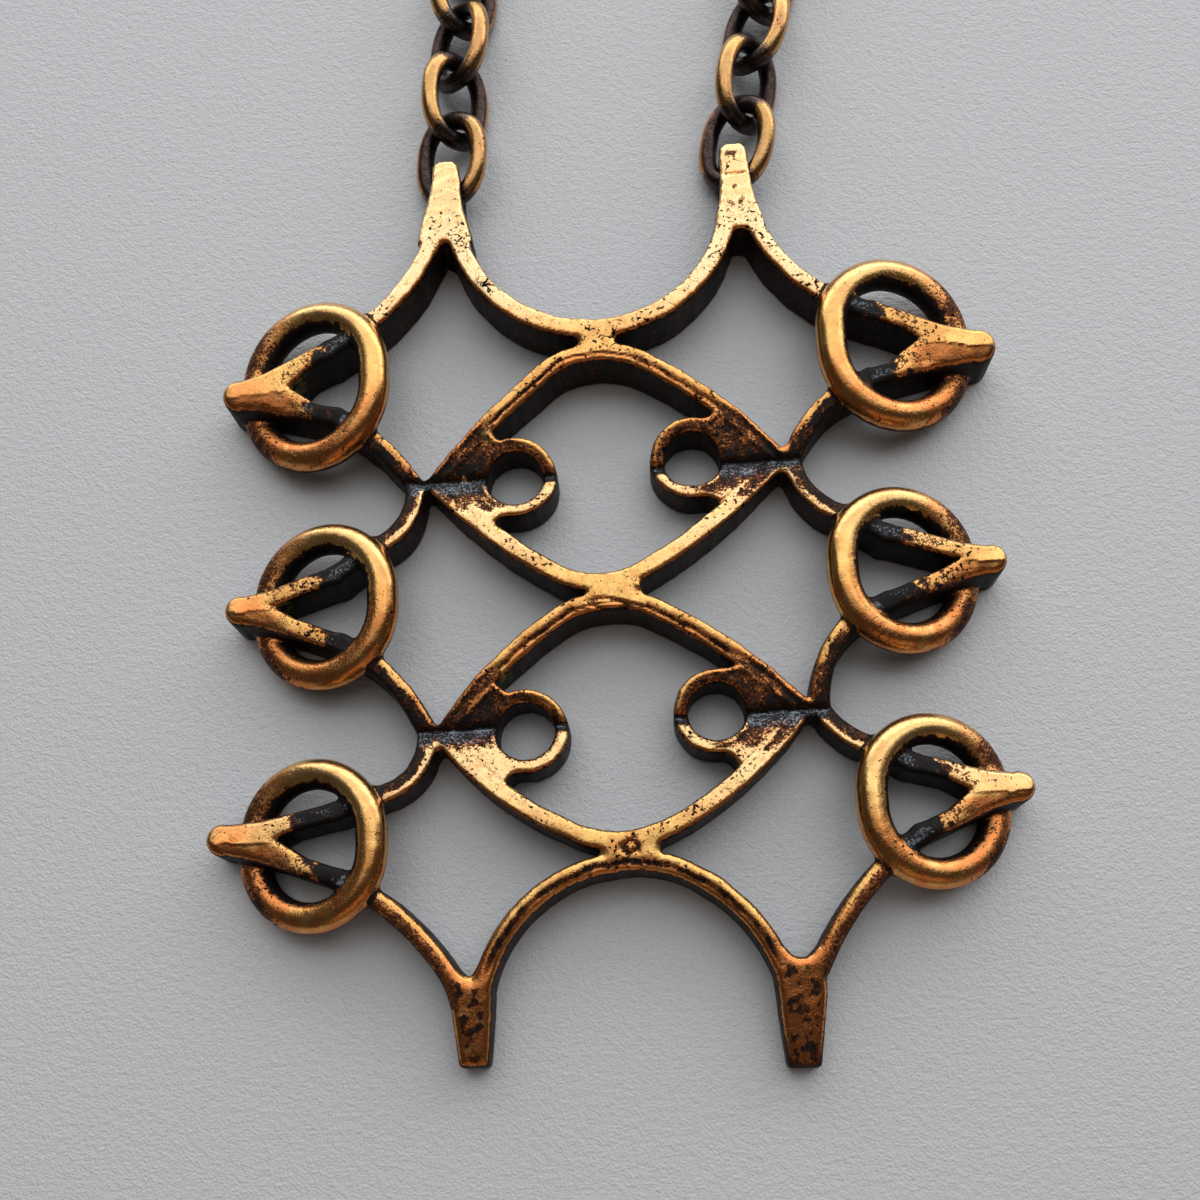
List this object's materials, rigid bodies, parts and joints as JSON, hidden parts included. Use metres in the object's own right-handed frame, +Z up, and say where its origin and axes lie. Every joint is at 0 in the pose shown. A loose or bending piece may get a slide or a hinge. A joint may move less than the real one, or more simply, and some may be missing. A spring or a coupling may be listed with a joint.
{
  "type": "bronze necklace",
  "caption": "Openwork cast pendant with side rings, spikes and legs, hung from two prongs on a cable chain that closes with an oval clasp.",
  "frame": {"origin": "on the pendant's flat back, at the centre junction of its lattice", "axes": "+X towards the right side rings, +Y from the pendant towards the chain, +Z up out of the pendant's face"},
  "size_m": [0.1539, 0.3126, 0.0055],
  "materials": {
    "pendant_bronze": "polished crowns with blackened recesses",
    "chain_bronze": "antiqued, rubbed bright on top",
    "clasp_bronze": "antiqued"
  },
  "bodies": {
    "root": {"pendant": "pendant_bronze", "chain_left": "chain_bronze", "chain_right": "chain_bronze", "clasp": "clasp_bronze"}
  },
  "joints": []
}
